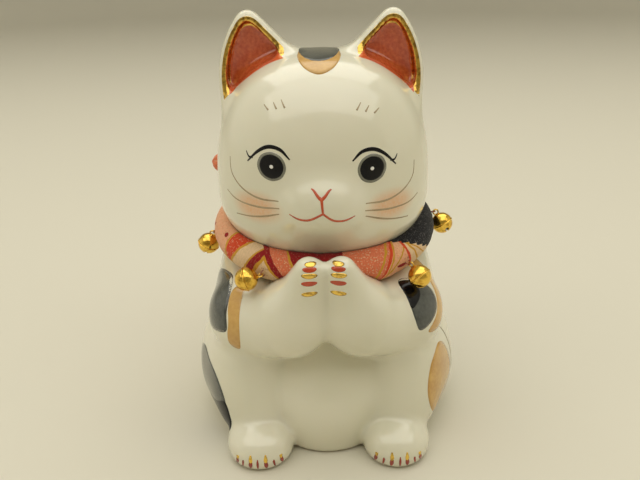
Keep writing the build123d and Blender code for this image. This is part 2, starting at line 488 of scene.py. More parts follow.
def patch(outline, locate, lift, rings=8, segments=64):
    """A painted area on the glaze, filled from its middle to its outline."""
    edge = smooth_line(outline, segments, closed=True)
    middle = edge.mean(0)
    places = [middle[None, :]]
    places += [middle + (edge - middle) * ring / rings for ring in range(1, rings + 1)]
    surface = locate(np.concatenate(places))
    rim = np.ones(len(surface))
    rim[-segments:] = EDGE
    count = len(surface)
    last = count - segments
    faces = []
    for j in range(segments):
        k = (j + 1) % segments
        top = [[0, 1 + j, 1 + k]]
        for a in range(1, last, segments):
            b = a + segments
            top.append([a + j, b + j, b + k, a + k])
        for face in top:
            faces += [face, [count + i for i in reversed(face)]]
        faces.append([last + k, last + j, count + last + j, count + last + k])
    return coat(surface, lift, rim), faces


def oval(centre, radii, turn=0):
    """Outline of an oval, turned by some degrees."""
    angle = np.arange(8) * math.pi / 4
    x, y = radii[0] * np.cos(angle), radii[1] * np.sin(angle)
    cos, sin = math.cos(math.radians(turn)), math.sin(math.radians(turn))
    return np.stack([centre[0] + x * cos - y * sin, centre[1] + x * sin + y * cos], -1)


def facing_out(shell):
    """Point the faces of a coat of paint outwards."""
    points, faces = shell
    a, b, c = (points[i] for i in faces[0][:3])
    outward = normals(cat_surface, a[None, :])[0]
    if np.cross(b - a, c - a) @ outward < 0:
        faces = [face[::-1] for face in faces]
    return points, faces


def painted(name, shells, material):
    """Painted marks of one colour as one piece."""
    points, faces = join_shells([facing_out(shell) for shell in shells])
    return new_piece(name, points, faces, material, "root")


# ------------------------------------------------------------ materials


def finish_for(name):
    """A new node material with its shader and its node maker."""
    material = bpy.data.materials.new(name)
    material.use_nodes = True
    tree = material.node_tree
    tree.nodes.clear()
    out = tree.nodes.new("ShaderNodeOutputMaterial")
    shader = tree.nodes.new("ShaderNodeBsdfPrincipled")
    tree.links.new(shader.outputs[0], out.inputs[0])
    return material, tree, shader


def feed(tree, node, inputs):
    """Give a node's sockets plain values or incoming links."""
    for key, value in inputs.items():
        if isinstance(value, bpy.types.NodeSocket):
            tree.links.new(value, node.inputs[key])
        else:
            node.inputs[key].default_value = value


def add(tree, kind, inputs=None, **settings):
    """A node with its settings and what goes into it."""
    node = tree.nodes.new(kind)
    for key, value in settings.items():
        setattr(node, key, value)
    feed(tree, node, inputs or {})
    return node


def object_place(tree):
    """Object coordinates."""
    return add(tree, "ShaderNodeTexCoord").outputs["Object"]


def noise(tree, where, size, detail=3, rough=0.5):
    """Cloudy noise with features of about the given size in metres."""
    inputs = {"Scale": 1 / size, "Detail": detail, "Roughness": rough, "Vector": where}
    return add(tree, "ShaderNodeTexNoise", inputs).outputs["Fac"]


def ramp(tree, factor, stops):
    """A colour ramp from (place, colour) stops."""
    node = add(tree, "ShaderNodeValToRGB", {"Fac": factor})
    for element, (place, colour) in zip(node.color_ramp.elements, stops):
        element.position = place
        element.color = (*colour, 1)
    return node.outputs["Color"]


def mix(tree, factor, one, two, blend_type="MIX"):
    """One colour laid over another by a factor."""
    one, two = ((*c, 1) if isinstance(c, tuple) else c for c in (one, two))
    inputs = {0: factor, 6: one, 7: two}
    return add(tree, "ShaderNodeMix", inputs, data_type="RGBA", blend_type=blend_type).outputs[2]


def maths(tree, operation, *terms):
    """One sum of numbers or sockets."""
    return add(tree, "ShaderNodeMath", dict(enumerate(terms)), operation=operation).outputs[0]


def step_up(tree, value, low, high):
    """0 at low, 1 at high, smooth between."""
    inputs = {"Value": value, "From Min": low, "From Max": high}
    return add(tree, "ShaderNodeMapRange", inputs, interpolation_type="SMOOTHSTEP").outputs[0]


def bump(tree, shader, height, depth, strength):
    """Fine relief of the given depth in metres."""
    inputs = {"Strength": strength, "Distance": depth, "Height": height}
    feed(tree, shader, {"Normal": add(tree, "ShaderNodeBump", inputs).outputs[0]})


GLAZE_WHITE = (0.81, 0.78, 0.64)
GLAZE_POOLED = (0.72, 0.70, 0.55)
BISCUIT = (0.66, 0.58, 0.45)
BLUSH = (0.80, 0.36, 0.13)
IRON_SPECK = (0.62, 0.55, 0.42)

# Middle and reach of the blush on the +X cheek
CHEEK = np.array([22.5, -31.5, 90.3])
CHEEK_REACH = np.array([12.5, 15, 7])


def ear_marks(points):
    """Signed reach of the red and of the gold painted inside the ears, negative inside."""
    folded = both_sides(points)
    across, up = folded[..., 0], folded[..., 2]
    outline = ear_outline(across, up, 0)
    front = folded[..., 1] - EAR_MIDDLE - 0.8 - 0.02 * (140 - up)
    inward = 30.5 - across
    hem = 123.5 + 1.03 * inward - 0.0222 * inward * inward - up
    red = np.maximum(np.maximum(outline + 3.3, front), hem)
    gold = np.maximum(np.maximum(np.abs(outline + 2.35) - 1.15, front), hem + 0.6)
    gold = np.maximum(gold, 12.4 - across)
    return red, gold


def mark_ears(piece, points):
    """Keep the reach of the ear paint at each point of the casting."""
    for name, values in zip(("ear_red", "ear_gold"), ear_marks(points)):
        layer = piece.data.attributes.new(name, "FLOAT", "POINT")
        layer.data.foreach_set("value", np.clip(values, -4, 4).astype(np.float32))


def glazed_porcelain():
    """Warm white porcelain under clear glaze, bare at the foot, blushed cheeks, painted ears."""
    material, tree, shader = finish_for("glazed_porcelain")
    where = object_place(tree)
    cloud = noise(tree, where, 0.045, 2)
    white = ramp(tree, cloud, [(0.35, GLAZE_WHITE), (0.75, GLAZE_POOLED)])
    speck = noise(tree, where, 0.0016, 2)
    white = mix(tree, step_up(tree, speck, 0.78, 0.84), white, IRON_SPECK)
    spots = []
    for side in (-1, 1):
        inputs = {
            "Location": (-CHEEK * (side, 1, 1) / CHEEK_REACH).tolist(),
            "Scale": (1 / (CHEEK_REACH * MM)).tolist(),
            "Vector": where,
        }
        squeezed = add(tree, "ShaderNodeMapping", inputs).outputs[0]
        reach = add(tree, "ShaderNodeVectorMath", {0: squeezed}, operation="LENGTH")
        spots.append(step_up(tree, reach.outputs["Value"], 1.0, 0.25))
    grain = maths(tree, "MULTIPLY_ADD", noise(tree, where, 0.0007, 2), 0.5, 0.38)
    cheeks = maths(tree, "MULTIPLY", maths(tree, "MAXIMUM", *spots), grain)
    white = mix(tree, cheeks, white, BLUSH)
    height = add(tree, "ShaderNodeSeparateXYZ", {0: where}).outputs[2]
    ragged = maths(tree, "MULTIPLY_ADD", noise(tree, where, 0.003), 0.0008, height)
    bare = step_up(tree, ragged, 0.0014, 0.0010)
    colour = mix(tree, bare, white, BISCUIT)
    brushed = noise(tree, where, 0.0012, 4)
    red_reach = add(tree, "ShaderNodeAttribute", attribute_name="ear_red").outputs["Fac"]
    gold_reach = add(tree, "ShaderNodeAttribute", attribute_name="ear_gold").outputs["Fac"]
    red_paint = ramp(tree, brushed, [(0.3, (0.60, 0.09, 0.03)), (0.7, (0.78, 0.18, 0.06))])
    gold_paint = ramp(tree, brushed, [(0.34, (0.32, 0.17, 0.02)), (0.54, (0.78, 0.50, 0.09))])
    gilt = step_up(tree, gold_reach, 0.10, -0.10)
    colour = mix(tree, step_up(tree, red_reach, 0.12, -0.12), colour, red_paint)
    matt = maths(tree, "MULTIPLY_ADD", bare, 0.5, 0.13)
    finish = {
        "Base Color": mix(tree, gilt, colour, gold_paint),
        "Metallic": gilt,
        "Roughness": maths(tree, "MULTIPLY_ADD", cloud, 0.05, matt),
        "Subsurface Weight": 0.12,
        "Subsurface Radius": (0.004, 0.003, 0.002),
        "Subsurface Scale": 0.6,
        "Coat Weight": 0.7,
        "Coat Roughness": 0.13,
        "IOR": 1.52,
    }
    feed(tree, shader, finish)
    bump(tree, shader, noise(tree, where, 0.006, 3), 0.00008, 0.5)
    return material


def enamel(name, colour, deep, gloss=0.5):
    """Overglaze enamel with uneven brush washes."""
    material, tree, shader = finish_for(name)
    where = object_place(tree)
    wash = noise(tree, where, 0.0012, 4, 0.6)
    broad = noise(tree, where, 0.006, 2)
    shade = maths(tree, "MULTIPLY_ADD", broad, 0.6, maths(tree, "MULTIPLY", wash, 0.4))
    finish = {
        "Base Color": ramp(tree, shade, [(0.35, deep), (0.62, colour)]),
        "Roughness": maths(tree, "MULTIPLY_ADD", wash, 0.12, 0.16),
        "Coat Weight": gloss,
        "Specular IOR Level": gloss,
        "Coat Roughness": 0.05,
    }
    feed(tree, shader, finish)
    bump(tree, shader, wash, 0.00003, 0.6)
    return material


def gilding(name, bright=(0.86, 0.58, 0.13), worn=(0.42, 0.25, 0.06), roughness=0.16, size=0.0016):
    """Bright gold with small dull and worn places."""
    material, tree, shader = finish_for(name)
    where = object_place(tree)
    wear = noise(tree, where, size, 4, 0.65)
    smear = noise(tree, where, size * 3.5, 3)
    finish = {
        "Base Color": ramp(tree, wear, [(0.36, worn), (0.5, bright)]),
        "Metallic": 1.0,
        "Roughness": maths(tree, "MULTIPLY_ADD", smear, 0.22, roughness - 0.06),
    }
    feed(tree, shader, finish)
    bump(tree, shader, smear, 0.00012, 0.35)
    return material


def steel():
    """Plain steel of the pellets."""
    material, tree, shader = finish_for("steel_pellet")
    wear = noise(tree, object_place(tree), 0.0005, 3)
    finish = {
        "Base Color": ramp(tree, wear, [(0.3, (0.3, 0.3, 0.31)), (0.7, (0.6, 0.6, 0.6))]),
        "Metallic": 1.0,
        "Roughness": maths(tree, "MULTIPLY_ADD", wear, 0.2, 0.25),
    }
    feed(tree, shader, finish)
    return material


def thread_finish():
    """Dark red sewing thread with its twist."""
    material, tree, shader = finish_for("sewing_thread")
    inputs = {"Scale": 900.0, "Distortion": 2.0, "Detail": 1.0, "Vector": object_place(tree)}
    ply = add(tree, "ShaderNodeTexWave", inputs, bands_direction="DIAGONAL").outputs["Fac"]
    finish = {
        # The ply bands darken the thread in the grooves between its plies and lighten it on their
        # crowns: painted shade and painted light.
        "Base Color": ramp(tree, ply, [(0.2, (0.10, 0.008, 0.008)), (0.8, (0.38, 0.03, 0.025))]),
        "Roughness": 0.75,
        "Sheen Weight": 0.4,
    }
    feed(tree, shader, finish)
    bump(tree, shader, ply, 0.00006, 0.8)
    return material


# ------------------------------------------------------------ collar cloth

# The tube's first end and sweep in degrees, and its flat size in metres
RING_START = 102.0
RING_SWEEP = 336.0
RING_LENGTH = 0.205
TUBE_GIRTH = 0.0396

CREAM = (0.78, 0.56, 0.34)
PEACH = (0.80, 0.42, 0.24)
CORAL = (0.74, 0.19, 0.09)
VERMILION = (0.66, 0.06, 0.015)
CRIMSON = (0.30, 0.008, 0.010)
OCHRE = (0.62, 0.32, 0.03)
INK = (0.006, 0.006, 0.009)
INK_DOT = (0.30, 0.29, 0.28)

# Print on the collar. Each area runs between two slanting lines round the tube:
# azimuth and slant of the first, azimuth and slant of the second, colour, speckle.
AREAS = [
    (90, 0, 128, 0, CORAL, 0.8),
    (128, 0.05, 131, 0.05, OCHRE, 0),
    (150, -0.06, 152, -0.06, CRIMSON, 0),
    (211, 0, 212.5, 0, OCHRE, 0),
    (212.5, 0, 218, 0.093, VERMILION, 0.7),
    (218, 0.093, 219.6, 0.093, OCHRE, 0),
    (219.6, 0.093, 229.2, 0.094, CREAM, 0),
    (228.2, 0.094, 229.4, 0.094, OCHRE, 0),
    (229.4, 0.094, 233.8, 0.094, CRIMSON, 0.15),
    (233.8, 0.094, 245.2, -0.127, OCHRE, 0),
    (235.8, 0.094, 243.4, -0.127, CREAM, 0),
    (245.2, -0.127, 249.2, -0.127, CRIMSON, 0.15),
    (249.2, -0.127, 256.6, -0.09, CORAL, 0.8),
    (256.6, -0.09, 258, -0.09, OCHRE, 0),
    (258, -0.09, 277, 0.03, CRIMSON, 0.2),
    (277, 0.03, 296.6, 0.09, CORAL, 1.0),
    (296.6, 0.09, 298.2, 0.09, OCHRE, 0),
    (298.2, 0.09, 300.4, 0.08, CORAL, 0.8),
    (300.4, 0.08, 302.2, 0.08, VERMILION, 0.1),
    (302.8, 0.07, 303.9, 0.07, OCHRE, 0),
    (306, 0.15, 307.3, 0.15, OCHRE, 0),
    (314.8, -0.03, 316.4, -0.03, VERMILION, 0.1),
    (316.4, -0.03, 333, -0.25, CREAM, 0),
    (320, -0.08, 321.4, -0.08, OCHRE, 0),
    (325, -0.16, 326.2, -0.16, OCHRE, 0),
    (331.5, -0.25, 424, 0, INK, 0.35),
    (424, 0, 445, 0, CORAL, 0.8),
]

# Small leaves on the print: azimuth, angle on the tube, half length along each
LEAVES = [
    (207, 50, 1.6, 9),
    (310, -13, 3.0, 7),
    (186, 20, 1.5, 8),
    (172, -20, 2.4, 8),
    (158, 55, 1.5, 9),
]


def crepe_cloth():
    """Crinkled crepe with printed areas that run slanting across the tube."""
    material, tree, shader = finish_for("crepe_cloth")
    uv = add(tree, "ShaderNodeUVMap", uv_map="cloth").outputs[0]
    along, round_tube = add(tree, "ShaderNodeSeparateXYZ", {0: uv}).outputs[:2]
    flat_size = {"Scale": (RING_LENGTH, TUBE_GIRTH, 1), "Vector": uv}
    cloth = add(tree, "ShaderNodeMapping", flat_size).outputs[0]
    waver = noise(tree, cloth, 0.003, 2)
    azimuth = maths(tree, "MULTIPLY_ADD", along, RING_SWEEP, RING_START - 0.9)
    azimuth = maths(tree, "MULTIPLY_ADD", waver, 1.8, azimuth)
    below = maths(tree, "GREATER_THAN", round_tube, 0.5)
    turn = maths(tree, "MULTIPLY", maths(tree, "SUBTRACT", round_tube, below), 360)
    wave = maths(tree, "SINE", maths(tree, "MULTIPLY", turn, math.pi / 17))
    scallop = maths(tree, "ABSOLUTE", wave)
    dots = add(tree, "ShaderNodeTexVoronoi", {"Scale": 1 / 0.00062, "Vector": cloth})
    speckle = step_up(tree, dots.outputs["Distance"], 0.42, 0.25)
    mottle = noise(tree, cloth, 0.0011, 3)
    speckle = maths(tree, "MULTIPLY", speckle, step_up(tree, mottle, 0.35, 0.62))
    colour = mix(tree, maths(tree, "MULTIPLY", speckle, 0.45), PEACH, VERMILION)
    for first, first_slant, last, last_slant, ink, dotted in AREAS:
        start = maths(tree, "MULTIPLY_ADD", turn, first_slant, first)
        if ink is INK:
            start = maths(tree, "MULTIPLY_ADD", scallop, -2.2, start)
        stop = maths(tree, "MULTIPLY_ADD", turn, last_slant, last)
        after = step_up(tree, maths(tree, "SUBTRACT", azimuth, start), -0.12, 0.12)
        before = step_up(tree, maths(tree, "SUBTRACT", stop, azimuth), -0.12, 0.12)
        shade = ink
        if dotted:
            dot = INK_DOT if ink is INK else CREAM
            shade = mix(tree, maths(tree, "MULTIPLY", speckle, dotted), ink, dot)
        colour = mix(tree, maths(tree, "MULTIPLY", after, before), colour, shade)
    for centre, height, wide, tall in LEAVES:
        sides = (
            maths(tree, "MULTIPLY_ADD", azimuth, 1 / wide, -centre / wide),
            maths(tree, "MULTIPLY_ADD", turn, 1 / tall, -height / tall),
        )
        reach = maths(tree, "ADD", *(maths(tree, "MULTIPLY", side, side) for side in sides))
        colour = mix(tree, step_up(tree, reach, 1.1, 0.8), colour, CRIMSON)
    creased = add(tree, "ShaderNodeMapping", {"Scale": (1.0, 0.35, 1.0), "Vector": cloth})
    crinkle = noise(tree, creased.outputs[0], 0.00045, 4, 0.65)
    folds = noise(tree, creased.outputs[0], 0.0022, 2, 0.5)
    # The crinkle also darkens the print in its hollows and lightens it on its crests: painted
    # shade and painted light.
    shade = maths(tree, "MULTIPLY_ADD", crinkle, 0.7, 0.62)
    finish = {
        "Base Color": mix(tree, 1.0, colour, shade, "MULTIPLY"),
        "Roughness": 0.85,
        "Sheen Weight": 0.1,
        "Sheen Roughness": 0.5,
        "Specular IOR Level": 0.25,
    }
    feed(tree, shader, finish)
    height = maths(tree, "MULTIPLY_ADD", folds, 0.5, maths(tree, "MULTIPLY", crinkle, 0.5))
    bump(tree, shader, height, 0.0005, 0.9)
    return material


def ring_place(azimuth, tube_angle, radius):
    """A point of the collar's tube, from angles in degrees and a radius."""
    azimuth = np.radians(np.asarray(azimuth, float))
    tube_angle = np.radians(np.asarray(tube_angle, float))
    reach = COLLAR_RADIUS + radius * np.cos(tube_angle)
    x, y, z = reach * np.cos(azimuth), reach * np.sin(azimuth), radius * np.sin(tube_angle)
    cos, sin = math.cos(COLLAR_TILT), math.sin(COLLAR_TILT)
    return np.stack([x, y * cos - z * sin, y * sin + z * cos], -1) + COLLAR_CENTRE


def tube_faces(rows, columns):
    """Quads of a tube whose columns close on themselves, with its two end caps."""
    faces = []
    for i in range(rows - 1):
        for j in range(columns):
            k = (j + 1) % columns
            a, b = i * columns, (i + 1) * columns
            faces.append([a + j, b + j, b + k, a + k])
    faces.append(list(range(columns)))
    faces.append([(rows - 1) * columns + j for j in reversed(range(columns))])
    return faces


def cloth_map(piece, rows, columns, first, last):
    """A map along and around a tube: u from first to last, v once round."""
    layer = piece.data.uv_layers.new(name="cloth")
    for polygon in piece.data.polygons:
        corners = [piece.data.loops[i].vertex_index for i in polygon.loop_indices]
        turns = [corner % columns for corner in corners]
        wraps = max(turns) - min(turns) > columns / 2
        for loop, corner, turn in zip(polygon.loop_indices, corners, turns):
            row = corner // columns
            u = first + (last - first) * row / (rows - 1)
            v = (turn + columns if wraps and turn < columns / 2 else turn) / columns
            layer.data[loop].uv = (u, v)


# The cloth is simulated this many times larger, over this many frames
SIM_SCALE = 20.0
SIM_FRAMES = 14


def puffed(points, faces, pressure, slack, cap):
    """Swell a closed padded shape by a short cloth simulation, up to a cap."""
    mesh = bpy.data.meshes.new("padding")
    mesh.from_pydata((points * MM * SIM_SCALE).tolist(), [], faces)
    padding = placed("padding", mesh)
    cloth = padding.modifiers.new("cloth", "CLOTH")
    settings = cloth.settings
    settings.quality = 5
    settings.mass = 0.2
    settings.use_pressure = True
    settings.uniform_pressure_force = pressure
    settings.shrink_min = -slack
    settings.tension_stiffness = 25
    settings.compression_stiffness = 25
    settings.bending_stiffness = 0.3
    settings.effector_weights.gravity = 0
    cloth.point_cache.frame_start = 1
    cloth.point_cache.frame_end = SIM_FRAMES
    scene = bpy.context.scene
    for step in range(1, SIM_FRAMES + 1):
        scene.frame_set(step)
    evaluated = padding.evaluated_get(bpy.context.evaluated_depsgraph_get())
    swollen = np.zeros(len(points) * 3)
    evaluated.data.vertices.foreach_get("co", swollen)
    bpy.data.objects.remove(padding)
    scene.frame_set(1)
    move = swollen.reshape(-1, 3) / (MM * SIM_SCALE) - points
    far = np.linalg.norm(move, axis=1)[:, None]
    return points + move * np.minimum(1, cap / np.maximum(far, 1e-6))


def pressed_clear(points, gap):
    """Cloth pressed back where it would enter the porcelain."""
    for _ in range(3):
        depth = gap - cat_surface(points)
        touching = depth > 0
        if touching.any():
            outward = normals(cat_surface, points[touching])
            points[touching] += outward * depth[touching][:, None]
    return points


def padded_piece(name, nodes, grid, faces, swell, gap, span, material):
    """A padded cloth piece from a grid of points, kept clear of the glaze."""
    rows, columns = grid.shape[:2]
    points = puffed(grid.reshape(-1, 3), faces, *swell)
    points = pressed_clear(points, gap)
    piece = new_piece(name, points, faces, material, "root")
    cloth_map(piece, rows, columns, *span)
    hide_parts(*nodes)


def collar(material):
    """The stuffed crepe tube round the neck."""
    rows, columns = 260, 44
    rng = np.random.default_rng(4)
    azimuth = RING_START + RING_SWEEP * np.linspace(0, 1, rows)
    turn = 360 * np.arange(columns) / columns
    grid_a, grid_t = np.meshgrid(azimuth, turn, indexing="ij")
    gathers = np.zeros_like(grid_a)
    for _ in range(26):
        centre = rng.uniform(RING_START, RING_START + RING_SWEEP)
        lean = rng.uniform(-0.04, 0.04)
        width = rng.uniform(0.9, 2.2)
        depth = rng.uniform(0.10, 0.32)
        across = grid_a - centre - lean * (grid_t - 180)
        fade = 0.5 + 0.5 * np.cos(np.radians(grid_t - rng.uniform(0, 360)))
        gathers += depth * np.exp(-((across / width) ** 2)) * fade
    ends = np.minimum(grid_a - RING_START, RING_START + RING_SWEEP - grid_a)
    squeeze = 1.6 * np.exp(-((ends / 5.0) ** 2))
    underside = np.clip(-np.sin(np.radians(grid_t)), 0, 1)
    sag = 0.9 * np.exp(-(((grid_a - 298) / 16) ** 2)) * underside
    radius = COLLAR_TUBE - 0.42 - gathers - squeeze + sag
    grid = ring_place(grid_a, grid_t, radius)
    nodes = ("collar_cover", "collar_stuffing")
    faces = tube_faces(rows, columns)
    padded_piece("collar_tube", nodes, grid, faces, (2.2, 0.03, 0.4), 0.12, (0, 1), material)


def tail_end(name, node, middle, fat, thin, span, material, seed):
    """One tied end of the tube, puckered where it leaves the knot and at its tip."""
    rows, columns = 64, 40
    rng = np.random.default_rng(seed)
    place = np.linspace(0, 1, rows)
    line = smooth_line(middle, rows)
    forward = np.gradient(line, axis=0)
    forward /= np.linalg.norm(forward, axis=1)[:, None]
    side = np.cross(forward, [0, 0, 1.0])
    side /= np.linalg.norm(side, axis=1)[:, None]
    up = np.cross(side, forward)
    swell = np.sqrt(np.clip(1 - np.clip((place - 0.86) / 0.14, 0, 1) ** 2.4, 0.004, 1))
    neck = 0.52 + 0.48 * np.clip(place / 0.55, 0, 1) ** 0.8
    neck = neck + 0.05 * np.sin(9 * place + seed)
    turn = 2 * math.pi * np.arange(columns) / columns
    pucker = np.zeros((rows, columns))
    for _ in range(11):
        phase = rng.uniform(0, 2 * math.pi)
        sharp = rng.uniform(10, 26)
        reach = rng.uniform(0.25, 0.6)
        near_knot = np.exp(-place / (reach * 0.5))
        near_tip = np.exp(-(1 - place) / (reach * 0.16))
        fold = np.exp(sharp * (np.cos(turn - phase) - 1))
        pucker += rng.uniform(0.14, 0.24) * np.outer(near_knot + near_tip, fold)
    radius_side = (thin * swell * neck)[:, None] * (1 - pucker)
    radius_up = (fat * swell * neck)[:, None] * (1 - pucker)
    grid = (
        line[:, None, :]
        + side[:, None, :] * (radius_side * np.cos(turn))[..., None]
        + up[:, None, :] * (radius_up * np.sin(turn))[..., None]
    )
    faces = tube_faces(rows, columns)
    padded_piece(name, (node,), grid, faces, (1.6, 0.04, 0.35), 0.2, span, material)


def knot(material):
    """The knot at the nape: one end wrapped over the other, with deep creases."""
    rows, columns = 56, 72
    rng = np.random.default_rng(9)
    height = np.linspace(-1, 1, rows)
    turn = 2 * math.pi * np.arange(columns) / columns
    profile = np.clip(1 - np.abs(height) ** 2.6, 0.003, 1) ** (1 / 2.6)
    crease = np.zeros((rows, columns))
    for _ in range(13):
        phase = rng.uniform(0, 2 * math.pi)
        twist = rng.uniform(-0.9, 0.9)
        sharp = rng.uniform(25, 70)
        depth = rng.uniform(0.08, 0.17)
        away = turn[None, :] - phase - twist * height[:, None]
        crease += depth * np.exp(sharp * (np.cos(away) - 1))
    reach = profile[:, None] * (1 - crease)
    middle = np.array([0.0, 40.2, 76.8])
    sides = (height[:, None] + 0 * reach, reach * np.cos(turn), reach * np.sin(turn))
    grid = np.stack(sides, -1) * (8.6, 7.0, 7.6) + middle
    faces = [face[::-1] for face in tube_faces(rows, columns)]
    nodes, span = ("collar_knot",), (0.20, 0.33)
    padded_piece("knot", nodes, grid, faces, (1.4, 0.05, 0.4), 0.2, span, material)


# ------------------------------------------------------------ sewing by geometry nodes


def stitch_tree(material):
    """Short round stitches laid along a curve at an even spacing."""
    tree = bpy.data.node_groups.new("stitch_row", "GeometryNodeTree")
    face = tree.interface
    face.new_socket("Geometry", in_out="INPUT", socket_type="NodeSocketGeometry")
    for label, value in (("Spacing", 0.002), ("Length", 0.0012), ("Thread Radius", 0.0002)):
        socket = face.new_socket(label, in_out="INPUT", socket_type="NodeSocketFloat")
        socket.default_value = value
    face.new_socket("Geometry", in_out="OUTPUT", socket_type="NodeSocketGeometry")
    given = add(tree, "NodeGroupInput").outputs
    row = {"Curve": given["Geometry"], "Length": given["Spacing"]}
    spread = add(tree, "GeometryNodeResampleCurve", row, mode="LENGTH")
    tangent = {"Vector": add(tree, "GeometryNodeInputTangent").outputs[0]}
    aim = add(tree, "FunctionNodeAlignRotationToVector", tangent, axis="Z")
    ball = {"Segments": 8, "Rings": 6, "Radius": 1.0}
    radius, half = given["Thread Radius"], maths(tree, "MULTIPLY", given["Length"], 0.5)
    stitches = {
        "Points": spread.outputs[0],
        "Instance": add(tree, "GeometryNodeMeshUVSphere", ball).outputs[0],
        "Rotation": aim.outputs[0],
        "Scale": add(tree, "ShaderNodeCombineXYZ", {0: radius, 1: radius, 2: half}).outputs[0],
    }
    sewn = add(tree, "GeometryNodeInstanceOnPoints", stitches).outputs[0]
    real = add(tree, "GeometryNodeRealizeInstances", {0: sewn}).outputs[0]
    dyed = add(tree, "GeometryNodeSetMaterial", {"Geometry": real, "Material": material})
    add(tree, "NodeGroupOutput", {0: dyed.outputs[0]})
    return tree


def stitched(name, tree, lines, spacing, length, radius, material):
    """Rows of stitches along lines in millimetres, as one plain mesh."""
    curve = bpy.data.curves.new(name, "CURVE")
    curve.dimensions = "3D"
    for line in lines:
        spline = curve.splines.new("POLY")
        spline.points.add(len(line) - 1)
        for point, place in zip(spline.points, line):
            point.co = (*[float(number) * MM for number in place], 1)
    guide = placed(name + "_guide", curve)
    rule = guide.modifiers.new("stitches", "NODES")
    rule.node_group = tree
    sizes = {"Spacing": spacing, "Length": length, "Thread Radius": radius}
    for item in tree.interface.items_tree:
        if item.in_out == "INPUT" and item.name in sizes:
            rule[item.identifier] = sizes[item.name] * MM
    bpy.context.view_layer.update()
    graph = bpy.context.evaluated_depsgraph_get()
    mesh = bpy.data.meshes.new_from_object(guide.evaluated_get(graph))
    bpy.data.objects.remove(guide)
    dress(placed(name, mesh), material, "root")


# ------------------------------------------------------------ the figurine

porcelain = glazed_porcelain()
skin_step = 1.15
body_points, body_quads = skin(casting, (-53, -57, -2), (53, 57, 152), skin_step)
body_points = even_out(casting, body_points, body_quads, 4)
body = new_piece("porcelain_cat", body_points, body_quads, porcelain, "root")
mark_ears(body, body_points)
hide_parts("porcelain_body")

grey_enamel = enamel("grey_enamel", (0.085, 0.092, 0.082), (0.04, 0.046, 0.042))
tan_enamel = enamel("tan_enamel", (0.66, 0.40, 0.11), (0.54, 0.29, 0.07))
black_enamel = enamel("black_enamel", (0.006, 0.006, 0.008), (0.002, 0.002, 0.003), gloss=0.2)
halo_enamel = enamel("eye_grey_enamel", (0.22, 0.22, 0.17), (0.14, 0.14, 0.11))
white_enamel = enamel("white_enamel", (0.86, 0.86, 0.84), (0.80, 0.80, 0.78))
lip_enamel = enamel("lip_red_enamel", (0.60, 0.10, 0.035), (0.45, 0.06, 0.02))
claw_enamel = enamel("claw_red_enamel", (0.38, 0.03, 0.012), (0.22, 0.012, 0.008))
paw_enamel = enamel("paw_red_enamel", (0.58, 0.07, 0.015), (0.42, 0.04, 0.01))
brown_enamel = enamel("olive_brown_enamel", (0.40, 0.31, 0.18), (0.30, 0.22, 0.11))
line_enamel = enamel("grey_olive_enamel", (0.32, 0.28, 0.17), (0.22, 0.19, 0.11))
gold = gilding("gold_lustre")

BODY = around(0)
SIDES = (-1, 1)


def on_face(places):
    """The face is painted slightly askew: lower towards +X."""
    angle, height = places[:, 0] - 1.0, places[:, 1] + 1.0 * np.exp(-((places[:, 0] / 24) ** 2))
    across = 38 * np.sin(np.radians(angle))
    return around(-2)(np.stack([angle, height - 0.5 - 0.033 * across], -1))


def face_patch(centre, radius, lift, rings=8, segments=64):
    """A round dot on the face, seen from the front."""
    x, z = centre[0] - 0.4, centre[1] - 0.5 - 0.033 * centre[0]
    return patch(oval((x, z), (radius, radius * 0.97)), from_front, lift, rings, segments)


def face_stroke(points, widths, side, lift=PAINT):
    """A brush stroke on one side of the face."""
    return stroke([(side * x, z) for x, z in points], widths, on_face, lift)


def paint_eyes():
    """Round dark eyes with a grey halo, a catchlight and upper lashes."""
    halo, pupil, light, lashes = [], [], [], []
    for side in SIDES:
        centre = (side * 16.1, 104.8)
        halo.append(face_patch(centre, 4.75, 0.04))
        pupil.append(face_patch(centre, 4.15, 0.08))
        light.append(face_patch(centre, 0.75, 0.12, 3, 24))
        upper = [(42, 105.0), (35.5, 108.8), (29, 110.6), (22, 109.9), (16.5, 107.0)]
        lashes.append(face_stroke(upper, (0.45, 1.1, 1.3, 1.1, 0.45), side))
        flick = [(43.6, 108.2), (41.4, 106.6), (38.5, 106.6)]
        lashes.append(face_stroke(flick, (0.3, 0.6, 0.8), side))
    painted("eye_halos", halo, halo_enamel)
    painted("eye_pupils", pupil, black_enamel)
    painted("eye_catchlights", light, white_enamel)
    painted("eye_lashes", lashes, black_enamel)


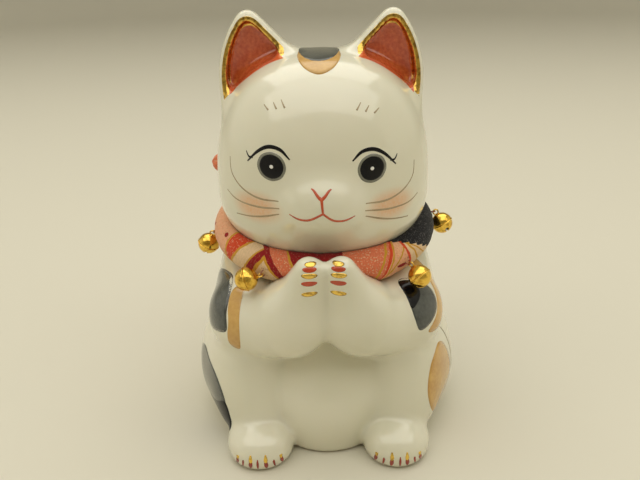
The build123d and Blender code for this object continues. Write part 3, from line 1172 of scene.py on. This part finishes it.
def paint_face_lines():
    """Nose, mouth, whiskers and brows."""
    lips, hairs = [], []
    nose = [
        (-4.7, 98.9), (-3.4, 98.3), (-1.4, 96.7), (0, 96.1), (1.4, 96.7), (3.4, 98.3), (4.7, 98.9),
    ]
    lips.append(stroke(nose, (0.4, 0.75, 1.0, 1.2, 1.0, 0.75, 0.4), on_face))
    lips.append(stroke([(0, 96.4), (0.3, 94), (0.6, 91.4)], (1.0, 0.8, 0.7), on_face, 0.07))
    for side in SIDES:
        mouth = [(side * 0.6, 91.7), (4, 89.8), (7, 89.1), (11, 89.2), (15.5, 90.3)]
        lips.append(face_stroke(mouth, (0.7, 0.75, 0.75, 0.7, 0.3), side, 0.09))
        whiskers = [
            [(57, 104.5), (55, 99.8), (48.5, 96.3), (40, 94.1), (31.5, 93.2), (22, 93.6)],
            [(60, 92.5), (52, 90.8), (42, 90.3), (31, 90.4), (21.5, 91.2)],
            [(52, 85.4), (40, 86.3), (30, 87.6), (22, 89.2)],
        ]
        for line in whiskers:
            widths = np.append(np.linspace(0.35, 0.65, len(line) - 1), 0.3)
            hairs.append(face_stroke(line, widths, side))
        brows = [
            [(38, 122.7), (33.5, 121.3)],
            [(31.5, 123.6), (28, 121.8)],
            [(26.5, 124.5), (22.5, 122.2)],
        ]
        for line in brows:
            hairs.append(face_stroke(line, (0.25, 0.6), side))
    painted("nose_and_mouth", lips, lip_enamel)
    painted("whiskers_and_brows", hairs, brown_enamel)


def paint_crown():
    """A grey oval on the crown over a tan one."""
    tan = patch(oval((-0.6, -9), (7.3, 13.3)), from_above, 0.04)
    grey = patch(oval((-0.6, -4.5), (6.9, 11.8)), from_above, 0.08)
    painted("crown_tan", [tan], tan_enamel)
    painted("crown_grey", [grey], grey_enamel)


def paint_claws():
    """Claw marks in gold and red on the paws and feet."""
    golden, red, scarlet = [], [], []
    marks = [
        (-4.6, 4.2, 77.7, 1.9, golden),
        (-4.9, 4.2, 76.4, 2.3, scarlet),
        (-5.0, 4.3, 74.5, 2.6, golden),
        (-5.1, 4.1, 71.8, 2.6, scarlet),
        (-5.1, 4.1, 68.0, 2.6, golden),
    ]
    for left, right, height, reach, colour in marks:
        for middle in (left, right):
            mark = oval((middle, height), (reach, 0.34 * reach))
            colour.append(patch(mark, from_front, 0.07, 3, 28))
    offsets = (-7.5, -5.0, -2.4, 0.4, 2.8, 5.4, 7.4)
    for side in SIDES:
        for number, offset in enumerate(offsets):
            x = side * (24.3 + offset)
            lean = side * offset * 0.10
            top = 7.0 - 0.05 * offset * offset
            broad = number % 2 == 0
            width = (0.6, 1.4, 1.2, 0.5) if broad else (0.4, 0.8, 0.8, 0.3)
            tip = top if broad else top - 1.2
            line = [(x + lean, 1.5), (x + lean * 0.6, 3.0), (x + lean * 0.2, 4.4), (x, tip)]
            red.append(stroke(line, width, from_front))
            if broad:
                line = [(x + lean * 0.3, 4.2), (x + lean * 0.1, 5.3), (x, top + 0.5)]
                golden.append(stroke(line, (0.6, 1.4, 0.5), from_front, 0.09))
    painted("claws_red", red, claw_enamel)
    painted("paw_marks_red", scarlet, paw_enamel)
    painted("claws_gold", golden, gold)


def paint_patches():
    """Calico patches on the arms, haunches, back and tail, and a black painted shadow of the front
    right bell on the right arm.
    """
    grey, tan, black = [], [], []
    grey_left = [
        (-80, 57), (-66, 60), (-54, 60.5), (-47.5, 58), (-44.5, 53),
        (-43, 47.5), (-48, 45.5), (-58, 44.5), (-72, 46), (-80, 51),
    ]
    grey.append(patch(grey_left, BODY, 0.05))
    tan_left = [
        (-43.5, 61), (-48, 59.5), (-45, 55), (-42.5, 50),
        (-42.5, 42.5), (-38, 41), (-36.5, 48), (-38.8, 56),
    ]
    tan.append(patch(tan_left, BODY, 0.07))
    grey_right = [
        (40, 60.8), (38.2, 57), (38, 52), (40, 46.8),
        (45.8, 48), (52.5, 52), (54.5, 57), (49, 60.8),
    ]
    grey.append(patch(grey_right, BODY, 0.06))
    tan_right = [
        (71, 63), (63, 61.5), (57.5, 56.5), (51, 50),
        (44.5, 45), (52, 43.6), (60, 47), (68, 54),
    ]
    tan.append(patch(tan_right, BODY, 0.05))
    # Painted shadow: the dark spot where the front right bell hangs against the right arm, laid in
    # black enamel with the calico patches.
    dark = [(40.2, 60.9), (38.3, 58), (38.2, 54.4), (42.2, 55.4), (47, 57.8), (48, 60.4)]
    black.append(patch(dark, BODY, 0.09, 5, 40))
    haunch = [
        (-60, 29), (-51.5, 27), (-46, 22), (-44, 16.5), (-48, 13),
        (-60, 12.5), (-76, 16), (-82, 23), (-73, 29),
    ]
    grey.append(patch(haunch, BODY, 0.05))
    low = [
        (-45, 18.6), (-41.8, 13.6), (-41.5, 8.5), (-46, 5),
        (-56, 4.6), (-66, 8), (-62, 13), (-52, 15.8),
    ]
    black.append(patch(low, BODY, 0.08))
    tan.append(patch(oval((55.5, 21.5), (12.5, 13.6)), BODY, 0.05))
    crease = [(66, 38.5), (70.5, 33), (71.6, 26), (70, 19)]
    lines = [stroke(crease, (0.3, 0.9, 0.9, 0.3), BODY, 0.07)]
    grey.append(patch(oval((150, 44), (15, 12), 8), BODY, 0.05))
    tan.append(patch(oval((196, 30), (13, 11), -8), BODY, 0.05))
    painted("patches_grey", grey, grey_enamel)
    painted("patches_tan", tan, tan_enamel)
    painted("patches_black_and_bell_shadow", black, black_enamel)
    painted("haunch_line", lines, line_enamel)


paint_eyes()
paint_face_lines()
paint_crown()
paint_claws()
paint_patches()

# ------------------------------------------------------------ collar

crepe = crepe_cloth()
collar(crepe)
left_end = [(-5, 42.5, 77.5), (-24, 46.2, 80.5), (-46.9, 45, 83.6)]
tail_end("tail_left", "collar_tail_left", left_end, 5.2, 4.6, (0.012, 0.072), crepe, 21)
right_end = [(5, 43, 77.5), (22, 46.5, 79), (41.6, 46.5, 80.3)]
tail_end("tail_right", "collar_tail_right", right_end, 5.0, 4.4, (0.72, 0.88), crepe, 22)
knot(crepe)

# ------------------------------------------------------------ bells and sewing

bell_gold = gilding("bell_brass", (0.92, 0.60, 0.11), (0.60, 0.34, 0.05), 0.12, 0.0022)
ring_gold = gilding("bell_shank_brass", (0.88, 0.58, 0.13), (0.50, 0.30, 0.08), 0.2, 0.0008)
pellet_steel = steel()
thread = thread_finish()

# A bell's outer radius, its wall and the radius just outside its inner face
BELL_RADIUS = 4.0
BELL_WALL = 0.35
BELL_BORE = 3.66

# The wire and thread that hang a bell, and the spread of the loop's feet and strands
SHANK_WIRE = 0.29
SHANK_RADIUS = 1.0
THREAD_RADIUS = 0.11
LOOP_HALF = 0.9
STRAND_GAP = 0.1


def bell_wall(points):
    """Both half shells of a bell as one hollow wall."""
    half_wall = BELL_WALL / 2
    return np.abs(np.linalg.norm(points, axis=-1) - (BELL_RADIUS - half_wall)) - half_wall


def top_shell(points):
    """Upper half of a bell, with the dab of solder round its shank."""
    half = blend_out(bell_wall(points), 0.02 - points[..., 2], 0.12)
    ring = np.hypot(points[..., 0], points[..., 1])
    solder = np.hypot(ring, (points[..., 2] - 3.8) * 1.6) - 0.75
    inside = BELL_BORE - np.linalg.norm(points, axis=-1)
    return blend_in(half, np.maximum(solder, inside), 0.3)


def bottom_shell(points):
    """Lower half of a bell, with its rolled lip and its slot between two holes."""
    across, along, height = (points[..., i] for i in range(3))
    half = blend_out(bell_wall(points), height + 0.02, 0.12)
    lip = np.hypot(np.hypot(across, along) - BELL_RADIUS, height + 0.22) - 0.22
    lip = np.maximum(lip, BELL_BORE - np.linalg.norm(points, axis=-1))
    half = blend_in(half, lip, 0.15)
    slot = np.maximum(np.abs(along) - 0.45, np.abs(across) - 2.6)
    holes = np.hypot(np.abs(across) - 2.6, along) - 0.8
    cut = np.maximum(np.minimum(slot, holes), height + 0.5)
    return blend_out(half, -cut, 0.12)


def tube(line, radius, sides, closed=False):
    """A round strand along a line."""
    line = np.asarray(line, float)
    if closed:
        forward = np.roll(line, -1, 0) - np.roll(line, 1, 0)
    else:
        forward = np.gradient(line, axis=0)
    forward /= np.linalg.norm(forward, axis=1)[:, None]
    start = np.eye(3)[np.argmin(np.abs(forward[0]))]
    frames = []
    for ahead in forward:
        start = start - ahead * (start @ ahead)
        start = start / np.linalg.norm(start)
        frames.append(start)
    first = np.array(frames)
    second = np.cross(forward, first)
    turn = 2 * math.pi * np.arange(sides) / sides
    cos, sin = np.cos(turn)[None, :, None], np.sin(turn)[None, :, None]
    ring = first[:, None, :] * cos + second[:, None, :] * sin
    points = (line[:, None, :] + radius * ring).reshape(-1, 3)
    if not closed:
        return points, [face[::-1] for face in tube_faces(len(line), sides)]
    faces = []
    rows = len(line)
    for i in range(rows):
        for j in range(sides):
            k, below = (j + 1) % sides, ((i + 1) % rows) * sides
            faces.append([i * sides + j, i * sides + k, below + k, below + j])
    return points, faces


def thread_loop(anchor, pin, out):
    """A loop of two twisted strands that stands on the cloth at an anchor."""
    legs = np.linspace(0.15, 0.95, 5)
    bend = np.linspace(0, math.pi, 21)
    flat = [(-LOOP_HALF, z) for z in legs]
    flat += [(-LOOP_HALF * math.cos(t), 1.0 + LOOP_HALF * math.sin(t)) for t in bend]
    flat += [(LOOP_HALF, z) for z in legs[::-1]]
    side = np.cross(pin, out)
    twist = np.linspace(0, 3 * math.pi, len(flat))
    strands = []
    for gap in (-STRAND_GAP, STRAND_GAP):
        line = []
        for (x, z), t in zip(flat, twist):
            rise = z + 0.3 * gap * math.sin(t)
            line.append(anchor + pin * x + out * rise + side * gap * math.cos(t))
        strands.append(tube(line, THREAD_RADIUS, 8))
    return join_shells(strands)


def bell_pieces():
    """Each bell's shells, shank and thread loop, placed from its joints."""
    fine = 0.15
    shells = {}
    for half, field in (("top_shell", top_shell), ("bottom_shell", bottom_shell)):
        points, quads = skin(field, (-4.8, -4.8, -4.8), (4.9, 4.9, 5.3), fine)
        shells[half] = (even_out(field, points, quads, 2), quads)
    joints = {joint["name"]: joint for joint in frame["joints"]}
    angle = np.linspace(0, 2 * math.pi, 48, endpoint=False)
    circle = np.stack([0 * angle, np.cos(angle), np.sin(angle)], -1) * SHANK_RADIUS
    for label in ("side_left", "front_left", "front_right", "side_right"):
        hinges = [joints[f"{label}_{kind}"] for kind in ("sway", "swing", "rattle")]
        anchor, pivot, centre = (np.array(hinge["pos_m"], float) / MM for hinge in hinges)
        out, pin = np.array(hinges[0]["axis"], float), -np.array(hinges[1]["axis"], float)
        up = (pivot - centre) / np.linalg.norm(pivot - centre)
        turn = np.stack([pin, np.cross(up, pin), up])
        bell = label + "_bell"
        for half, (points, quads) in shells.items():
            points = points @ turn + centre
            piece = new_piece(f"{label}_{half}", points, quads, bell_gold, bell)
            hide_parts(f"{label}_bell_{half}")
        ring = circle @ turn + centre + up * (BELL_RADIUS + 0.85)
        points, faces = tube(ring, SHANK_WIRE, 12, True)
        piece = new_piece(label + "_shank", points, faces, ring_gold, bell)
        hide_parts(label + "_bell_shank")
        points, faces = thread_loop(anchor, pin, out)
        loop = label + "_loop"
        piece = new_piece(label + "_thread", points, faces, thread, loop)
        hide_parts(label + "_thread_loop")
        pellet = frame["nodes"][label + "_bell_pellet"]
        pellet.data.materials.clear()
        pellet.data.materials.append(pellet_steel)
        pellet.data.shade_smooth()


bell_pieces()
sewing = stitch_tree(thread)


def on_tube(azimuth, tube_angle, lift):
    """Places on the collar's cloth, a little above the plain tube."""
    return ring_place(azimuth, tube_angle, COLLAR_TUBE - 0.3 + lift)


def cloth_seams():
    """The collar's lengthwise seam underneath, and the gathers sewn at the tied ends."""
    seam = []
    for start, stop in ((104, 170), (171, 250), (292, 360), (361, 436)):
        azimuth = np.linspace(start, stop, 120)
        seam.append(on_tube(azimuth, 0 * azimuth - 128, -0.1))
    stitched("collar_seam", sewing, seam, 1.9, 1.3, 0.16, thread)
    rings = []
    turn = np.linspace(0, 2 * math.pi, 40)
    for centre in ((-8.8, 43.2, 77.9), (8.8, 43.6, 77.9)):
        rings.append(np.stack([0 * turn, 3.5 * np.cos(turn), 3.5 * np.sin(turn)], -1) + centre)
    stitched("tied_end_wraps", sewing, rings, 0.9, 1.1, 0.2, thread)


def bell_sewing():
    """A few over-and-over stitches that hold each thread loop to the collar."""
    lines = []
    for joint in frame["joints"]:
        if not joint["name"].endswith("_sway"):
            continue
        foot = np.array(joint["pos_m"], float) / MM
        flat = foot - COLLAR_CENTRE
        cos, sin = math.cos(COLLAR_TILT), math.sin(COLLAR_TILT)
        y, z = flat[1] * cos + flat[2] * sin, -flat[1] * sin + flat[2] * cos
        azimuth = math.degrees(math.atan2(y, flat[0])) % 360
        height = math.degrees(math.atan2(z, math.hypot(flat[0], y) - COLLAR_RADIUS))
        for shift in (-1.5, -0.75, 0.75, 1.5):
            reach = np.linspace(-8, 8, 12)
            lines.append(on_tube(azimuth + shift + 0.02 * reach, height + reach, 0.12))
    stitched("bell_foot_stitches", sewing, lines, 1.7, 1.6, 0.14, thread)


cloth_seams()
bell_sewing()

# ------------------------------------------------------------ setting


def floor_finish():
    """A nearly plain matt finish for the floor."""
    material, tree, shader = finish_for("pale_floor")
    cloud = noise(tree, object_place(tree), 0.05, 2)
    colour = mix(tree, maths(tree, "MULTIPLY", cloud, 0.1), (0.70, 0.67, 0.56), (0.7, 0.68, 0.6))
    feed(tree, shader, {"Base Color": colour, "Roughness": 0.7})
    return material


def ground():
    """A pale round floor that sweeps up into a wall all the way round."""
    sweep = np.linspace(0.1, math.pi / 2, 14)
    rows = [(0.02, 0.0), (0.5, 0.0), (1.4, 0.0)]
    rows += [(1.4 + 0.5 * math.sin(t), 0.5 - 0.5 * math.cos(t)) for t in sweep]
    rows += [(1.9, 2.2)]
    sides = 96
    points = []
    for reach, height in rows:
        for side in range(sides):
            turn = 2 * math.pi * side / sides
            points.append((reach * math.cos(turn), reach * math.sin(turn), height))
    faces = [list(range(sides))]
    for a in range(0, (len(rows) - 1) * sides, sides):
        b = a + sides
        for j in range(sides):
            k = (j + 1) % sides
            faces.append([b + j, b + k, a + k, a + j])
    mesh = bpy.data.meshes.new("floor")
    mesh.from_pydata(points, [], faces)
    mesh.shade_smooth()
    mesh.materials.append(floor_finish())
    placed("floor", mesh)


def area_light(name, place, aim, size, power, colour):
    """A soft rectangular light aimed at a point."""
    light = bpy.data.lights.new(name, "AREA")
    light.shape = "RECTANGLE"
    light.size, light.size_y = size
    light.energy = power
    light.color = colour
    lamp = placed(name, light)
    lamp.location = place
    aim = Vector(aim) - Vector(place)
    lamp.rotation_euler = aim.to_track_quat("-Z", "Y").to_euler()


ground()
area_light("overhead", (0.0, 0.40, 0.95), (0, 0, 0.1), (1.4, 0.6), 4.5, (1.0, 0.97, 0.88))
area_light("front_overhead", (0.0, -0.32, 1.05), (0, 0, 0.1), (2.6, 0.9), 9.5, (1.0, 0.97, 0.88))
area_light("left_window", (-1.3, 0.15, 0.6), (0, 0, 0.08), (1.5, 1.3), 2.0, (1.0, 0.96, 0.86))
area_light("right_fill", (1.3, 0.15, 0.6), (0, 0, 0.08), (1.5, 1.3), 1.8, (1.0, 0.95, 0.84))

world = bpy.data.worlds.new("world")
bpy.context.scene.world = world
world.use_nodes = True
sky = world.node_tree.nodes["Background"]
sky.inputs[0].default_value = (1.0, 0.96, 0.88, 1)
sky.inputs[1].default_value = 0.30
bpy.context.scene.view_settings.view_transform = "Standard"

# The camera looks down at the cat and is held a little askew
TILT, ROLL = math.radians(22.8), math.radians(1.15)
CAMERA_PLACE = (0, -0.264, 0.176)

lens = bpy.data.cameras.new("camera")
lens.sensor_width = 36
lens.lens = 42.3
lens.shift_x = -0.00703
lens.clip_start = 0.01
camera = placed("camera", lens)
level, plumb = Vector((1, 0, 0)), Vector((0, math.sin(TILT), math.cos(TILT)))
forward = Vector((0, math.cos(TILT), -math.sin(TILT)))
right = level * math.cos(ROLL) - plumb * math.sin(ROLL)
up = level * math.sin(ROLL) + plumb * math.cos(ROLL)
stand = Matrix((right, up, -forward)).transposed().to_4x4()
stand.translation = Vector(CAMERA_PLACE)
camera.matrix_world = stand
bpy.context.scene.camera = camera

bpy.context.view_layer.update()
